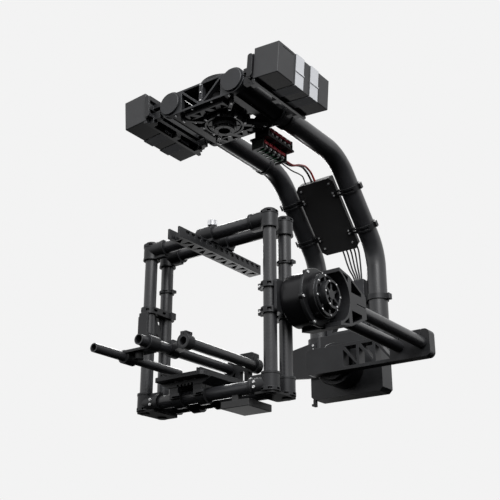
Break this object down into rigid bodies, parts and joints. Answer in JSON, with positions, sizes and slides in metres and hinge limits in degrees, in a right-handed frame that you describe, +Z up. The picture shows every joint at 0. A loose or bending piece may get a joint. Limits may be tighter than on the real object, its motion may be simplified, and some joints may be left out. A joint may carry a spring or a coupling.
{
  "type": "gimbal stabilizer",
  "caption": "Hanging three-axis camera gimbal: yoke of bent carbon arms, roll and tilt motors, tubular camera cage, side batteries, rods and rails.",
  "frame": {"origin": "centre of the top mount's upper face, on the pan axis", "axes": "+Z up along the pan axis, -Y towards the lens side of the camera cage, +Y towards the roll motor, +X towards the tilt motor"},
  "size_m": [0.5557, 0.929, 0.858],
  "materials": {
    "black_anodised": "hard anodised, satin black",
    "carbon": "woven carbon tube, clear matt resin",
    "steel_screw": "stainless socket screws",
    "battery_case": "moulded case, fine grain",
    "strap": "light grey webbing",
    "module_black": "board and terminal blocks",
    "box_shell": "powder coated, fine texture",
    "lead_black": "silicone insulation, black",
    "lead_red": "silicone insulation, red",
    "motor_shell": "turned and black anodised",
    "foot_rubber": "moulded cap",
    "knob_grey": "clear anodised, fluted"
  },
  "bodies": {
    "mount": {"top_mount_plate": "black_anodised", "pan_shaft": "black_anodised"},
    "roll": {"roll_output_hub": "black_anodised", "roll_beam": "black_anodised", "twin_tubes": "carbon", "tilt_motor_base": "black_anodised", "tilt_motor_can": "motor_shell", "tilt_motor_cap": "black_anodised", "tilt_screws": "steel_screw"},
    "cage": {"tilt_rotor_plate": "black_anodised", "posts": "carbon", "crossbars": "carbon", "corners": "black_anodised", "cage_feet": "foot_rubber", "post_rings": "black_anodised", "left_bracket": "black_anodised", "cage_screws": "steel_screw", "rail_carrier": "black_anodised", "camera_base": "black_anodised", "receiver_box": "box_shell"},
    "rail": {"top_rail": "black_anodised"},
    "knob_front": {"rail_knob_front": "knob_grey"},
    "knob_rear": {"rail_knob_rear": "black_anodised"},
    "camera_slide": {"camera_plate": "black_anodised", "rod_hanger": "black_anodised"},
    "rods": {"upper_rods": "carbon", "rod_front_clamp": "black_anodised"},
    "rod_low": {"rod_low": "carbon"},
    "bridge": {"rod_bridge": "black_anodised"},
    "lever": {"bridge_lever": "black_anodised"},
    "pan": {"accessory_plate": "black_anodised", "arm_collars": "black_anodised", "arm_end_caps": "black_anodised", "arm_left": "carbon", "arm_right": "carbon", "battery_left": "battery_case", "battery_right": "battery_case", "battery_straps": "strap", "box_clamps": "black_anodised", "electronics_box": "box_shell", "electronics_cover": "box_shell", "front_bulkhead": "black_anodised", "hub_lower_plate": "black_anodised", "hub_screws": "steel_screw", "hub_top_plate": "black_anodised", "lead_power_black": "lead_black", "lead_power_red": "lead_red", "lead_signal": "lead_black", "module_bracket": "black_anodised", "motor_leads": "lead_black", "pan_motor_can": "motor_shell", "power_module_lower": "module_black", "power_module_upper": "module_black", "rear_bulkhead": "black_anodised", "rear_screws": "steel_screw", "roll_housing": "black_anodised", "roll_motor_can": "motor_shell", "roll_upright": "black_anodised", "tray_left": "black_anodised", "tray_right": "black_anodised"}
  },
  "joints": [
    {"name": "pan", "type": "hinge", "parent": "mount", "child": "pan", "pos_m": [0, 0, 0], "axis": [0, 0, 1], "continuous": true},
    {"name": "roll", "type": "hinge", "parent": "pan", "child": "roll", "pos_m": [0, 0.501, -0.627], "axis": [0, 1, 0], "range_deg": [-60, 60]},
    {"name": "tilt", "type": "hinge", "parent": "roll", "child": "cage", "pos_m": [0.203, 0, -0.627], "axis": [1, 0, 0], "range_deg": [-120, 120]},
    {"name": "rail_slide", "type": "slide", "parent": "cage", "child": "rail", "axis": [0, 1, 0], "range_m": [-0.05, 0.05]},
    {"name": "knob_front_turn", "type": "hinge", "parent": "cage", "child": "knob_front", "pos_m": [0.012, -0.058, -0.4106], "axis": [0, 0, 1], "continuous": true},
    {"name": "knob_rear_turn", "type": "hinge", "parent": "cage", "child": "knob_rear", "pos_m": [0.012, 0.002, -0.4106], "axis": [0, 0, 1], "continuous": true},
    {"name": "camera_slide", "type": "slide", "parent": "cage", "child": "camera_slide", "axis": [0, 1, 0], "range_m": [-0.06, 0.06]},
    {"name": "rods_slide", "type": "slide", "parent": "camera_slide", "child": "rods", "axis": [0, 1, 0], "range_m": [-0.05, 0]},
    {"name": "rod_low_slide", "type": "slide", "parent": "bridge", "child": "rod_low", "axis": [0, 1, 0], "range_m": [-0.03, 0.02]},
    {"name": "bridge_slide", "type": "slide", "parent": "rods", "child": "bridge", "axis": [0, 1, 0], "range_m": [0, 0.03]},
    {"name": "lever_turn", "type": "hinge", "parent": "bridge", "child": "lever", "pos_m": [-0.084, -0.178, -0.728], "axis": [0, 0, 1], "range_deg": [0, 90]}
  ]
}
